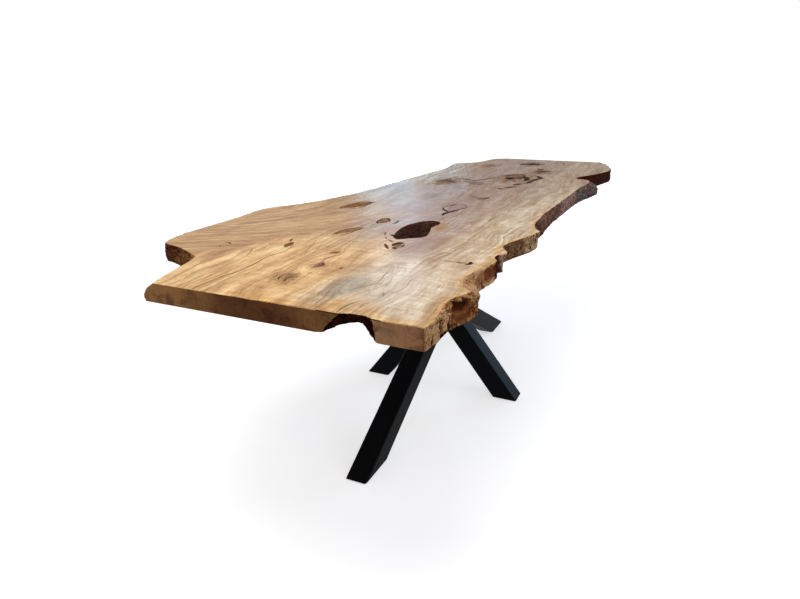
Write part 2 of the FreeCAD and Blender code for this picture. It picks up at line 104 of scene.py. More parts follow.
# Cracks, growth lines and dark outlines on the top, each a smooth curve through a few
# points in millimetres. tone: colour. strong: share of the wood it covers. half: half
# width and deep: depth of its groove, both in metres.
Line = namedtuple("Line", "tone strong half points deep", defaults=(0.0,))
LINES = [Line(*row) for row in (
    ("#8E5E34", 0.90, 0.0024, ((-1130, 103), (-1060, 101), (-1018, 98), (-1000, 90), (-950, 88),
     (-905, 93), (-860, 98), (-830, 94), (-800, 87), (-760, 92), (-725, 106))),
    ("#9A6E46", 0.60, 0.0016, ((-810, 28), (-760, 36), (-710, 52), (-660, 70))),
    ("#9A7450", 0.55, 0.0015, ((-860, 8), (-800, 4), (-750, 13), (-690, 32), (-650, 40))),
    ("#8E6038", 0.60, 0.0022, ((-870, 158), (-835, 172), (-805, 186))),
    ("#542E16", 0.85, 0.0030, ((-783, 306), (-778, 294), (-789, 278))),
    ("#6A4426", 0.70, 0.0022, ((-823, 286), (-812, 297))),
    ("#5A2A12", 0.90, 0.0034, ((-702, 133), (-690, 140), (-672, 146)), 0.0005),
    ("#5A3A22", 0.85, 0.0030, ((-262, 222), (-256, 233), (-219, 230), (-188, 225), (-159, 221),
     (-130, 214), (-113, 196), (-125, 178)), 0.0005),
    ("#5A3A22", 0.75, 0.0026, ((-125, 178), (-167, 167), (-198, 163), (-233, 170), (-247, 188),
     (-262, 222)), 0.0005),
    ("#553A22", 0.85, 0.0030, ((-578, 46), (-576, 56), (-543, 58), (-518, 53), (-497, 39),
     (-479, 9)), 0.0005),
    ("#553A22", 0.80, 0.0026, ((-479, 9), (-503, 13), (-526, 18), (-552, 19), (-572, 30),
     (-578, 46)), 0.0005),
    ("#7E5E44", 0.55, 0.0040, ((-350, 234), (-327, 219), (-301, 202))),
    ("#5A3E24", 0.75, 0.0024, ((-1004, -45), (-985, -34), (-962, -30))),
    ("#4E3620", 0.80, 0.0026, ((-1006, -64), (-988, -55), (-975, -60), (-966, -72))),
    ("#4A2A26", 0.85, 0.0028, ((-892, -62), (-878, -76), (-860, -80), (-848, -70))),
    ("#7A4C34", 0.70, 0.0020, ((-848, -66), (-815, -58), (-780, -64), (-766, -74))),
    ("#6A3620", 0.80, 0.0030, ((-766, -40), (-752, -46), (-746, -62))),
    ("#1E110A", 0.95, 0.0080, ((-520, -104), (-534, -120), (-552, -136), (-568, -150)), 0.0040),
    ("#4A2C1E", 0.80, 0.0030, ((-582, -124), (-590, -136), (-600, -147)), 0.0006),
    ("#6A5040", 0.65, 0.0030, ((-545, -94), (-525, -86), (-508, -76))),
    ("#56260E", 0.92, 0.0042, ((-668, -166), (-646, -150), (-624, -134)), 0.0010),
    ("#6A4630", 0.60, 0.0022, ((-578, -116), (-568, -110), (-556, -104))),
    ("#14100C", 0.95, 0.0036, ((-636, -166), (-626, -160), (-610, -162), (-597, -171),
     (-604, -185)), 0.0015),
    ("#2A1E18", 0.90, 0.0026, ((-640, -178), (-644, -187), (-633, -194), (-612, -190)), 0.0010),
    ("#5A3018", 0.80, 0.0028, ((-668, -188), (-652, -179), (-640, -172))),
    ("#2C2018", 0.95, 0.0028, ((-378, -27), (-358, -15), (-341, -2), (-346, 11), (-372, 12),
     (-396, 9), (-413, -2), (-402, -10), (-389, -13)), 0.0010),
    ("#50585A", 0.75, 0.0042, ((-402, -53), (-376, -54), (-356, -44))),
    ("#0E090B", 0.98, 0.0062, ((-236, -153), (-212, -150), (-186, -155), (-170, -162),
     (-150, -170), (-132, -176)), 0.0012),
    ("#0E090B", 0.95, 0.0042, ((-186, -155), (-172, -142), (-152, -124), (-128, -112)), 0.0010),
    ("#1A1316", 0.90, 0.0034, ((-132, -176), (-112, -183), (-90, -188))),
    ("#1A1316", 0.92, 0.0042, ((-96, -121), (-78, -126), (-62, -128), (-50, -137))),
    ("#4A3E44", 0.65, 0.0028, ((-128, -112), (-112, -115), (-96, -121))),
    ("#4A3E44", 0.60, 0.0028, ((-50, -137), (-48, -152), (-60, -170), (-90, -188))),
    ("#6A6252", 0.80, 0.0024, ((-1134, -281), (-1100, -280), (-1074, -285), (-1056, -294))),
    ("#7A7264", 0.60, 0.0020, ((-1092, -313), (-1072, -310), (-1054, -317))),
    ("#7C7466", 0.65, 0.0017, ((-1013, -327), (-1003, -324), (-992, -318), (-985, -310))),
    ("#857B6A", 0.55, 0.0020, ((-978, -252), (-955, -268), (-939, -274), (-912, -270),
     (-880, -263), (-851, -259), (-820, -263))),
    ("#857B6A", 0.45, 0.0040, ((-1000, -240), (-979, -250), (-955, -264), (-935, -268))),
    ("#8A7C68", 0.45, 0.0014, ((-1040, -262), (-1000, -276), (-960, -292), (-920, -296),
     (-880, -288))),
    ("#8A7C68", 0.40, 0.0014, ((-1020, -300), (-980, -336), (-940, -346), (-890, -338),
     (-850, -342))),
    ("#1E1208", 0.95, 0.0065, ((-727, -415), (-714, -421), (-700, -416)), 0.0010),
    ("#6E4C30", 0.80, 0.0055, ((-714, -410), (-716, -396), (-715, -382))),
    ("#A67E58", 0.60, 0.0060, ((-716, -386), (-715, -370), (-712, -340))),
    ("#3E3032", 0.85, 0.0110, ((276, -184), (286, -192), (292, -200))),
    ("#4A3634", 0.80, 0.0110, ((311, -205), (326, -218), (340, -230), (352, -236))),
    ("#3E2C2A", 0.85, 0.0110, ((376, -222), (400, -230), (424, -239))),
    ("#443638", 0.80, 0.0110, ((60, -172), (66, -184), (74, -196), (102, -202))),
    ("#6A5A58", 0.60, 0.0100, ((94, -132), (92, -150), (88, -168))),
    ("#3E3228", 0.85, 0.0090, ((348, 110), (372, 106), (396, 94), (440, 92))),
    ("#463830", 0.80, 0.0090, ((400, 84), (384, 60), (368, 36), (356, 22))),
    ("#5C4A3C", 0.70, 0.0080, ((452, 88), (466, 58), (456, 24), (436, -20), (450, -50),
     (500, -76), (545, -98))),
    ("#64504A", 0.60, 0.0100, ((398, 6), (386, -40), (388, -90))),
    ("#64504A", 0.55, 0.0100, ((360, -36), (350, -70), (352, -110))),
    ("#060302", 1.00, 0.0230, ((527, -142), (536, -163), (544, -186)), 0.0010),
    ("#120A06", 0.95, 0.0100, ((540, -178), (552, -194), (566, -207), (592, -212))),
    ("#1E120C", 0.90, 0.0110, ((594, -206), (572, -224), (530, -236), (492, -238))),
    ("#3A2C22", 0.75, 0.0120, ((580, -106), (606, -134), (636, -164), (638, -188), (612, -206))),
    ("#2E1F18", 0.88, 0.0100, ((440, -242), (438, -262), (486, -264), (544, -274), (572, -286),
     (622, -262), (640, -246))),
    ("#3E2E1E", 0.85, 0.0130, ((806, -214), (822, -228), (836, -240))),
    ("#3E2E1E", 0.85, 0.0130, ((740, -216), (752, -238), (770, -262), (778, -284))),
    ("#2E1E0E", 0.90, 0.0150, ((936, -112), (956, -136), (968, -164), (970, -190))),
    ("#54402F", 0.75, 0.0060, ((915, -108), (950, -100), (990, -98))),
    ("#6A4A34", 0.55, 0.0050, ((985, -296), (1020, -290), (1055, -284))),
    ("#34200E", 0.90, 0.0080, ((600, -444), (632, -436), (664, -437))),
    ("#6A6058", 0.60, 0.0060, ((835, 30), (865, 38), (890, 44))),
)]
LINE_GAP = 0.0024  # finest spacing of the mesh along and beside a line
LINE_ROWS = 2  # rows of vertices on each side of a line
LINE_REACH = 9.0  # half widths from a line beyond which it leaves no trace
TIP_SHARE = 0.35  # a line's half width at its ends, as a share of that in its middle
GROOVE_EDGE = 1.2  # half widths from a line at which its groove ends

# Where the grain opens up and flows round something: x, y, reach along, reach across,
# and how much of the grain is pushed aside.
Flow = namedtuple("Flow", "x y along across push")
SHIELD_FLOW = Flow(-0.182, 0.212, 0.150, 0.050, 0.60)  # bends the branch's grain as well
FLOWS = (
    Flow(-0.752, 0.165, 0.110, 0.045, 0.75),
    Flow(-0.988, -0.062, 0.090, 0.045, 0.70),
    Flow(-0.862, -0.072, 0.100, 0.050, 0.80),
    Flow(-0.757, -0.050, 0.070, 0.030, 0.60),
    Flow(-0.930, -0.250, 0.150, 0.060, 0.85),
    Flow(-0.523, 0.040, 0.120, 0.045, 0.60),
    Flow(-0.440, -0.150, 0.240, 0.100, 0.80),
    Flow(-0.614, -0.172, 0.080, 0.040, 0.60),
    Flow(-0.380, -0.004, 0.100, 0.040, 0.60),
    Flow(-0.112, -0.148, 0.140, 0.050, 0.65),
    SHIELD_FLOW,
    Flow(-0.706, -0.408, 0.090, 0.030, 0.60),
    Flow(0.560, -0.180, 0.150, 0.070, 0.80),
    Flow(0.760, -0.236, 0.110, 0.050, 0.70),
    Flow(0.968, -0.140, 0.110, 0.055, 0.75),
    Flow(0.384, 0.092, 0.130, 0.060, 0.70),
    Flow(0.872, 0.044, 0.120, 0.060, 0.60),
)

# The left lobe is a branch. Its grain sweeps down and to the right until it joins the
# trunk's at BRANCH_JOIN, and its seam with the trunk runs from SEAM_START to SEAM_END.
BRANCH_JOIN = -0.22
BRANCH_SWEEP = 1.75
SEAM_START = Vector((-0.90, 0.275))
SEAM_END = Vector((-0.36, 0.015))

# --------------------------------------------------------------------- live edges

# Colours and roughness along the live edges. side: +1 left, -1 right. x from start to
# stop. tone: colour. cover: how much of the wood it hides. rough: depth of its relief.
Stretch = namedtuple("Stretch", "side start stop tone cover rough")
STRETCHES = (
    Stretch(-1, -1.140, -1.010, "#D4A472", 0.90, 0.0026),
    Stretch(-1, -1.010, -0.900, "#AA7E50", 0.92, 0.0045),
    Stretch(-1, -0.900, -0.745, "#BE9268", 0.90, 0.0006),
    Stretch(-1, -0.745, -0.680, "#D2AC80", 0.85, 0.0006),
    Stretch(-1, -0.680, -0.604, "#4A1C12", 0.97, 0.0040),
    Stretch(-1, -0.604, -0.560, "#D8B294", 0.90, 0.0006),
    Stretch(-1, -0.560, -0.430, "#96704E", 0.97, 0.0050),
    Stretch(-1, -0.430, -0.330, "#CCA87E", 0.95, 0.0034),
    Stretch(-1, -0.330, -0.180, "#765240", 0.97, 0.0060),
    Stretch(-1, -0.180, 0.100, "#8E6A56", 0.95, 0.0050),
    Stretch(-1, 0.100, 0.330, "#AA8878", 0.92, 0.0036),
    Stretch(-1, 0.330, 0.604, "#80726C", 0.95, 0.0060),
    Stretch(-1, 0.604, 1.140, "#3E1E14", 0.97, 0.0050),
    Stretch(1, -0.985, -0.922, "#A8824E", 0.85, 0.0012),
    Stretch(1, -0.922, -0.884, "#8E643A", 0.95, 0.0040),
    Stretch(1, -0.884, -0.850, "#744830", 0.97, 0.0060),
    Stretch(1, -0.850, -0.700, "#54382A", 0.90, 0.0030),
    Stretch(1, -0.700, -0.250, "#8A6444", 0.75, 0.0014),
    Stretch(1, -0.250, 0.350, "#6A4A36", 0.85, 0.0028),
    Stretch(1, 0.350, 0.900, "#8C6A4C", 0.75, 0.0016),
    Stretch(1, 0.900, 1.140, "#5E4032", 0.90, 0.0030),
)
STRETCH_BLUR = 0.010
STRETCH_WANDER = 0.016

# Hollows in the live edge: middle, half sizes, depth and colour.
Pocket = namedtuple("Pocket", "x y z long wide high deep tone")
POCKETS = {
    "under_lip": Pocket(-0.970, -0.492, 0.732, 0.052, 0.06, 0.027, 0.014, "#7E4E2A"),
    # a real hollow whose dark colour is also painted shade under the top's lip
    "burrow_and_shade": Pocket(-0.962, -0.492, 0.745, 0.040, 0.06, 0.013, 0.014, "#4E2814"),
    "lip_holes": Pocket(-0.912, -0.492, 0.728, 0.007, 0.06, 0.016, 0.008, "#34160C"),
    "scoop": Pocket(-0.738, -0.460, 0.736, 0.062, 0.06, 0.022, 0.008, "#A87448"),
    "scoop_deep": Pocket(-0.706, -0.460, 0.742, 0.030, 0.06, 0.022, 0.009, "#A05C36"),
    "corner_crack": Pocket(-1.066, -0.485, 0.726, 0.010, 0.04, 0.030, 0.010, "#3E120A"),
    "mid_crack": Pocket(-1.026, -0.490, 0.722, 0.010, 0.04, 0.018, 0.009, "#3E120A"),
    "low_crack": Pocket(-1.044, -0.490, 0.711, 0.024, 0.04, 0.008, 0.008, "#32100A"),
    "corner_hole": Pocket(-1.108, -0.485, 0.724, 0.006, 0.04, 0.016, 0.006, "#54240F"),
}
POCKET_RAGGED = 0.007  # how far a pocket's outline strays
POCKET_STEEP = 2.6
POCKET_CALM = 0.7  # how much smoother than the bark a pocket is

VOID_TONE = "#4E3A30"
NOTCH_TONE = "#240A06"
INNER_ROUGH = 0.0040
NOTCH_ROUGH = 0.0090
VOID_BOX = ((-0.62, -0.25), (-0.27, -0.05))  # plan box round the void
NOTCH_BOX = ((NEAR_END - 0.01, -0.385), (NEAR_END + 0.085, -0.235))

EASED = 0.0012  # how far the sanded top and bottom edges are set in
RIM_RELIEF = 0.7  # share of the bark's relief that shows in those edges
RIM_HOLLOW = 0.15  # and share of the pockets' depth
SLANT = 0.4  # how far the carving follows a wall's slant up or down
ROUGHEST = 0.0045  # relief that counts as 1 in the attribute edge_rough


def linear(colour):
    """Linear red, green and blue of a colour written as #RRGGBB."""
    parts = [int(colour[i:i + 2], 16) / 255 for i in (1, 3, 5)]
    return [c / 12.92 if c <= 0.04045 else ((c + 0.055) / 1.055) ** 2.4 for c in parts]


def rgba(colour):
    return (*linear(colour), 1.0)


def smooth_share(value):
    t = min(max(value, 0.0), 1.0)
    return t * t * (3 - 2 * t)


def in_plan_box(x, y, box):
    (x0, y0), (x1, y1) = box
    return (x0 < x) & (x < x1) & (y0 < y) & (y < y1)


def link(thing):
    bpy.context.scene.collection.objects.link(thing)
    return thing


def plan_tree(points):
    """Search tree over points in plan."""
    tree = KDTree(len(points))
    for i, (x, y) in enumerate(points):
        tree.insert((x, y, 0), i)
    tree.balance()
    return tree


def nearest(tree, x, y):
    """Which of a tree's points is nearest in plan, and how far away it is."""
    _, index, distance = tree.find((x, y, 0))
    return index, distance


def connected_groups(things, neighbours):
    """Splits a set of things into groups, where neighbours(thing) are in its group."""
    left, groups = set(things), []
    while left:
        group, front = set(), {left.pop()}
        while front:
            group |= front
            front = {n for thing in front for n in neighbours(thing)} & left
            left -= front
        groups.append(group)
    return groups


# ============================================================================= slab

def on_level(part, height):
    """Whether a face or an edge lies at one height."""
    return all(abs(v.co.z - height) < FLAT for v in part.verts)


def at_sawn_end(x):
    return abs(x - NEAR_END) < SAWN or abs(x - FAR_END) < SAWN


def delete_caps(bm):
    caps = [face for face in bm.faces if on_level(face, TOP) or on_level(face, UNDERSIDE)]
    bmesh.ops.delete(bm, geom=caps, context="FACES")


def plan_width(faces):
    xs = [v.co.x for face in faces for v in face.verts]
    return max(xs) - min(xs)


def take_bores(bm):
    """Removes the walls of the insert bores and returns them as their own bmesh."""
    bores = bm.copy()
    for part, keeps_bores in ((bm, False), (bores, True)):
        drop = []
        groups = connected_groups(
            part.faces, lambda face: {f for edge in face.edges for f in edge.link_faces}
        )
        for group in groups:
            if (plan_width(group) < BORE_WIDEST) != keeps_bores:
                drop.extend(group)
        bmesh.ops.delete(part, geom=drop, context="FACES")
    return bores


def plan_grid(spacing):
    """Staggered points over the slab's plan."""
    rows = int((slab_high.y - slab_low.y) / spacing)
    columns = int((slab_high.x - slab_low.x) / spacing)
    return [
        Vector((slab_low.x + (i + 0.5 * (j % 2)) * spacing, slab_low.y + j * spacing))
        for j in range(rows)
        for i in range(columns)
    ]


def mark_radius(mark, x, y):
    """Distance from a mark's middle, where 1 is its outline, a spindle."""
    turn = math.radians(mark.turn)
    dx, dy = x - mark.x, y - mark.y
    along = (dx * math.cos(turn) + dy * math.sin(turn)) / mark.long
    across = (dy * math.cos(turn) - dx * math.sin(turn)) / mark.wide
    return (abs(along) ** POINTED + abs(across) ** POINTED) ** (1 / POINTED)


def mark_points():
    """Close points over every mark."""
    points = []
    for mark in MARKS.values():
        steps = int(MARK_REACH * mark.long / MARK_SPACING) + 1
        for i in range(-steps, steps + 1):
            for j in range(-steps, steps + 1):
                x, y = mark.x + i * MARK_SPACING, mark.y + j * MARK_SPACING
                if mark_radius(mark, x, y) < 1 + MARK_REACH * mark.wide / mark.long:
                    points.append(Vector((x, y)))
    return points


def line_gap(line):
    return max(LINE_GAP, 0.6 * line.half)


def line_curve(line):
    """Evenly spaced points of the smooth curve through a line's own points."""
    own = [Vector(point) / MILLI for point in line.points]
    own = [2 * own[0] - own[1], *own, 2 * own[-1] - own[-2]]
    curve = []
    for a, b, c, d in zip(own, own[1:], own[2:], own[3:]):
        steps = max(1, round((c - b).length / line_gap(line)))
        for i in range(steps):
            t = i / steps
            bend = (2 * a - 5 * b + 4 * c - d) * t * t + (3 * (b - c) + d - a) * t ** 3
            curve.append(b + ((c - a) * t + bend) / 2)
    return [*curve, own[-2]]


def line_points():
    """Vertices along every line and in rows beside it."""
    points = []
    for line in LINES:
        curve = line_curve(line)
        for before, point, after in zip(curve[:1] + curve, curve, curve[1:] + curve[-1:]):
            along = (after - before).normalized()
            across = Vector((-along.y, along.x)) * line_gap(line)
            points += [point + across * row for row in range(-LINE_ROWS, LINE_ROWS + 1)]
    return points


def line_tree():
    """Search tree over the curves of all lines, with each point's line and half width."""
    points, samples = [], []
    for line in LINES:
        curve = line_curve(line)
        for i, point in enumerate(curve):
            middle = 1 - abs(2 * i / (len(curve) - 1) - 1)
            swell = TIP_SHARE + (1 - TIP_SHARE) * smooth_share(2 * middle)
            points.append(point)
            samples.append((line, line.half * swell))
    return plan_tree(points), samples


def top_vertices():
    """Where the top's mesh has its vertices: a plain grid, finer on marks and lines."""
    tree, samples = line_tree()
    loose = []
    for point in plan_grid(TOP_SPACING) + mark_points():
        index, distance = nearest(tree, *point)
        if distance >= (LINE_ROWS + 0.7) * line_gap(samples[index][0]):
            loose.append(point)
    return loose + line_points()


def largest_region(faces, fences):
    """The biggest group of flat faces that no fence divides, so without the holes."""
    fences = {frozenset(fence) for fence in fences}
    beside = {}
    for index, face in enumerate(faces):
        for pair in zip(face, face[1:] + face[:1]):
            side = frozenset(pair)
            if side not in fences:
                beside.setdefault(side, []).append(index)
    neighbours = [set() for _ in faces]
    for group in beside.values():
        for index in group:
            neighbours[index].update(group)
    regions = connected_groups(range(len(faces)), neighbours.__getitem__)
    return [faces[index] for index in sorted(max(regions, key=len))]


def cap(bm, height, points, clearance, faces_up):
    """Closes the slab at one height, with the given points inside it."""
    edges = [edge for edge in bm.edges if edge.is_boundary and on_level(edge, height)]
    rim = sorted({v for edge in edges for v in edge.verts}, key=lambda v: v.index)
    place = {v: i for i, v in enumerate(rim)}
    tree = plan_tree([v.co.xy for v in rim])
    inner = [point for point in points if nearest(tree, *point)[1] > clearance]
    flat = [v.co.xy * MILLI for v in rim] + [point * MILLI for point in inner]
    joins = [tuple(place[v] for v in edge.verts) for edge in edges]
    coords, sides, faces, origins, fences, _ = delaunay_2d_cdt(flat, joins, [], 1, WELD)
    faces = largest_region(faces, [side for side, fence in zip(sides, fences) if fence])
    corners = []
    for origin in origins:
        known = [i for i in origin if i < len(rim)]
        corners.append(rim[known[0]] if known else None)
    made = []
    for face in faces:
        for i in face:
            if corners[i] is None:
                corners[i] = bm.verts.new((coords[i].x / MILLI, coords[i].y / MILLI, height))
    for face in faces:
        turn = [corners[i] for i in face]
        if len(set(turn)) == len(turn):
            made.append(bm.faces.new(turn if faces_up else turn[::-1]))
    return made


def solid_remesh(bm):
    """The closed mesh again, in even faces of one size."""
    mesh = bpy.data.meshes.new("closed_slab")
    bm.to_mesh(mesh)
    bm.free()
    holder = link(bpy.data.objects.new("closed_slab", mesh))
    remesh = holder.modifiers.new("even_faces", "REMESH")
    remesh.mode = "VOXEL"
    remesh.voxel_size = VOXEL
    remesh.adaptivity = 0
    bpy.context.view_layer.update()
    evaluated = holder.evaluated_get(bpy.context.evaluated_depsgraph_get())
    even = bmesh.new()
    even.from_mesh(evaluated.to_mesh())
    evaluated.to_mesh_clear()
    bpy.data.objects.remove(holder)
    return even


def pocket_share(pocket, co):
    """0 outside a pocket, 1 in its middle."""
    middle = Vector((pocket.x, pocket.y, pocket.z))
    offset = co - middle + noise.noise_vector(co * 70) * POCKET_RAGGED
    radius = Vector(
        (offset.x / pocket.long, offset.y / pocket.wide, offset.z / pocket.high)
    ).length
    return smooth_share(POCKET_STEEP * (1 - radius))


def edge_finish(co):
    """Colour, cover and relief depth of the live edge at a point."""
    if in_plan_box(co.x, co.y, VOID_BOX):
        return linear(VOID_TONE), 1.0, INNER_ROUGH
    if in_plan_box(co.x, co.y, NOTCH_BOX):
        return linear(NOTCH_TONE), 1.0, NOTCH_ROUGH
    wander = noise.noise(co * 22) * STRETCH_WANDER + noise.noise(co * 90) * STRETCH_WANDER / 3
    x = co.x + wander
    side = 1 if co.y > 0 else -1
    tone, cover, rough, total = [0.0, 0.0, 0.0], 0.0, 0.0, 0.0
    for stretch in STRETCHES:
        inside = min(x - stretch.start, stretch.stop - x)
        share = smooth_share(0.5 + inside / (2 * STRETCH_BLUR))
        if share and stretch.side == side:
            tone = [a + b * share for a, b in zip(tone, linear(stretch.tone))]
            cover += stretch.cover * share
            rough += stretch.rough * share
            total += share
    if total:
        tone = [c / total for c in tone]
        cover, rough = cover / max(total, 1), rough / max(total, 1)
    for pocket in POCKETS.values():
        share = pocket_share(pocket, co)
        if share:
            tone = [a + (b - a) * share for a, b in zip(tone, linear(pocket.tone))]
            cover += (1 - cover) * share
            rough *= 1 - POCKET_CALM * share
    return tone, cover, rough


def relief(co):
    """Bark relief from 0, proud, to 1, deep: long flutes along the edge and small pits."""
    flutes = noise.fractal(Vector((co.x * 28, co.y * 28, co.z * 95)), 0.6, 2.0, 4)
    pits = noise.cell(co * 140) * 0.5
    lumps = noise.noise(co * 60)
    return min(max(0.5 + 0.7 * flutes + 0.35 * lumps + 0.15 * pits, 0.0), 1.0)


def carve_live_edges(bm):
    """Gives the walls their relief and pockets, always inwards from the CAD's surface."""
    tone_layer = bm.verts.layers.float_vector.new("edge_tone")
    cover_layer = bm.verts.layers.float.new("edge_cover")
    rough_layer = bm.verts.layers.float.new("edge_rough")
    bm.normal_update()
    normals = {v: v.normal.copy() for v in bm.verts}
    for v in bm.verts:
        co = v.co.copy()
        sawn = at_sawn_end(co.x)
        at_top = abs(co.z - TOP) < FLAT
        rim = at_top or abs(co.z - UNDERSIDE) < FLAT
        if sawn and not in_plan_box(co.x, co.y, NOTCH_BOX):
            continue
        tone, cover, rough = edge_finish(co)
        inwards = -normals[v]
        inwards.z = 0 if rim else inwards.z * SLANT
        if sawn:
            inwards.x = 0
        depth = EASED + RIM_RELIEF * rough * relief(co) if rim else rough * relief(co)
        hollow = sum(pocket.deep * pocket_share(pocket, co) for pocket in POCKETS.values())
        level = Vector((inwards.x, inwards.y, 0))
        v.co = co + inwards * depth + level * hollow * (RIM_HOLLOW if rim else 1.0)
        v.co.z = min(max(v.co.z, UNDERSIDE), TOP)
        v[tone_layer] = tone
        v[cover_layer] = 0.0 if at_top else cover
        v[rough_layer] = rough / ROUGHEST


def trunk_across(x, y):
    """Distance across the trunk's grain: level lines of this are the grain lines."""
    return (
        y
        + 0.020 * np.sin(2.3 * x + 0.6)
        + 0.010 * np.sin(4.9 * x + 3.1 * y + 1.9)
        + 0.004 * np.sin(13.0 * x - 7.0 * y)
        + 0.0022 * np.sin(31.0 * x + 17.0 * y)
    )


def bend_round(flow, x, y, across, middle):
    """Pushes grain lines aside from one place."""
    reach = ((x - flow.x) / flow.along) ** 2 + ((y - flow.y) / flow.across) ** 2
    return across - flow.push * (across - middle) * np.exp(-reach)


def grain_coordinates(x, y, z):
    """(along, across, depth) for the trunk's grain and for the branch's grain."""
    x, y, z = (np.asarray(v, float) for v in (x, y, z))
    sweep = BRANCH_SWEEP * np.clip(BRANCH_JOIN - x, 0, None) ** 2
    trunk = trunk_across(x, y)
    branch = y - sweep + 0.012 * np.sin(9 * y + 4 * x) + 0.004 * np.sin(23 * y - 11 * x)
    for flow in FLOWS:
        trunk = bend_round(flow, x, y, trunk, trunk_across(flow.x, flow.y))
    middle = SHIELD_FLOW.y - BRANCH_SWEEP * max(BRANCH_JOIN - SHIELD_FLOW.x, 0) ** 2
    branch = bend_round(SHIELD_FLOW, x, y, branch, middle)
    return np.stack([x, trunk, z], 1), np.stack([x - 0.9 * y, branch, z], 1)


# How an attribute with one, three or four numbers for each vertex is stored
ATTRIBUTE_KINDS = {
    1: ("FLOAT", "value"), 3: ("FLOAT_VECTOR", "vector"), 4: ("FLOAT_COLOR", "color"),
}


def store(mesh, name, values):
    """Stores an attribute of the mesh's vertices, for the materials."""
    kind, field = ATTRIBUTE_KINDS[values[0].size]
    attribute = mesh.attributes.new(name, kind, "POINT")
    attribute.data.foreach_set(field, values.astype(np.float32).ravel())


def store_marks(mesh, x, y):
    """Each point's nearest mark: its two colours, the distance to its outline, its blur."""
    fill = np.zeros((len(x), 4))
    rim = np.zeros((len(x), 4))
    outline = np.tile((FAR_FROM_MARKS, 0.001, 0.01), (len(x), 1))
    for mark in MARKS.values():
        radius = mark_radius(mark, x, y)
        reach = np.hypot(x - mark.x, y - mark.y)
        metres = np.maximum(reach / np.maximum(radius, 0.1), mark.wide)
        distance = (radius - 1) * metres
        here = distance < outline[:, 0]
        fill[here] = (*linear(mark.fill), mark.body)
        rim[here] = (*linear(mark.rim), mark.line)
        outline[here, 0] = distance[here]
        outline[here, 1] = mark.soft * mark.wide
        outline[here, 2] = mark.wide
    store(mesh, "mark_fill", fill)
    store(mesh, "mark_rim", rim)
    store(mesh, "mark_outline", outline)


def store_lines(mesh, x, y):
    """Each point's distance to its nearest line, in half widths, and that line's colour."""
    tree, samples = line_tree()
    away = np.full(len(x), LINE_REACH)
    tones = np.zeros((len(x), 4))
    for i, (a, b) in enumerate(zip(x, y)):
        index, distance = nearest(tree, a, b)
        line, half = samples[index]
        if distance < half * LINE_REACH:
            away[i] = distance / half
        tones[i] = (*linear(line.tone), line.strong)
    store(mesh, "line_away", away)
    store(mesh, "line_tone", tones)


def store_edge_distance(mesh, x, y):
    """How far each point lies in plan from the nearest outer live edge."""
    cover = np.empty(len(x), np.float32)
    mesh.attributes["edge_cover"].data.foreach_get("value", cover)
    walls = (cover > 0.1) & ~in_plan_box(x, y, VOID_BOX)
    tree = plan_tree(list(zip(x[walls], y[walls])))
    store(mesh, "from_edge", np.array([nearest(tree, a, b)[1] for a, b in zip(x, y)]))


def press_marks(top_faces):
    """Sinks marks and cracks a little into the top, leaving its rim alone."""
    inside = set(top_faces)
    tree, samples = line_tree()
    for v in {v for face in top_faces for v in face.verts}:
        if not all(face in inside for face in v.link_faces):
            continue
        index, distance = nearest(tree, *v.co.xy)
        line, half = samples[index]
        v.co.z -= line.deep * smooth_share(GROOVE_EDGE - distance / half)
        for mark in MARKS.values():
            if mark.deep:
                ragged = DENT_RAGGED * noise.noise(v.co * 120)
                radius = mark_radius(mark, v.co.x, v.co.y) + ragged
                v.co.z -= mark.deep * smooth_share((DENT_EDGE - radius) / DENT_SLOPE)


def is_sawn(face):
    return at_sawn_end(face.calc_center_median().x) and abs(face.normal.x) > 0.8


def build_slab():
    """The slab's bmesh, with its live edges carved and its marks pressed in."""
    closed = bmesh.new()
    closed.from_mesh(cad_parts[SLAB].data)
    bmesh.ops.remove_doubles(closed, verts=closed.verts, dist=WELD)
    delete_caps(closed)
    bores = take_bores(closed)
    for height, faces_up in ((TOP, True), (UNDERSIDE, False)):
        cap(closed, height, [], 0, faces_up)
    bm = solid_remesh(closed)
    delete_caps(bm)
    bm.verts.index_update()
    carve_live_edges(bm)
    bore_mesh = bpy.data.meshes.new("bores")
    bores.to_mesh(bore_mesh)
    bm.from_mesh(bore_mesh)
    bm.verts.index_update()
    top = cap(bm, TOP, top_vertices(), TOP_SPACING / 2, True)
    under = cap(bm, UNDERSIDE, plan_grid(UNDERSIDE_SPACING), UNDERSIDE_SPACING / 3, False)
    press_marks(top)
    flat_faces = set(top) | set(under)
    for edge in bm.edges:
        sides = [face in flat_faces for face in edge.link_faces]
        edge.smooth = all(sides) or not any(sides)
    for face in bm.faces:
        face.smooth = True
        face.material_index = 1 if is_sawn(face) else 0
    return bm


def slab_piece():
    """The finished slab, in place of the CAD's plain one."""
    bm = build_slab()
    bm.normal_update()
    mesh = bpy.data.meshes.new("live_edge_slab")
    bm.to_mesh(mesh)
    bm.free()
    co = np.empty(len(mesh.vertices) * 3, np.float32)
    mesh.vertices.foreach_get("co", co)
    x, y, z = co.reshape(-1, 3).T
    trunk, branch = grain_coordinates(x, y, z)
    store(mesh, "grain_trunk", trunk)
    store(mesh, "grain_branch", branch)
    store_marks(mesh, x, y)
    store_lines(mesh, x, y)
    store_edge_distance(mesh, x, y)
    mesh.materials.append(slab_wood())
    mesh.materials.append(end_grain())
    piece = link(bpy.data.objects.new("live_edge_slab", mesh))
    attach(piece, "root")
    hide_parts(SLAB)


# ======================================================================== materials

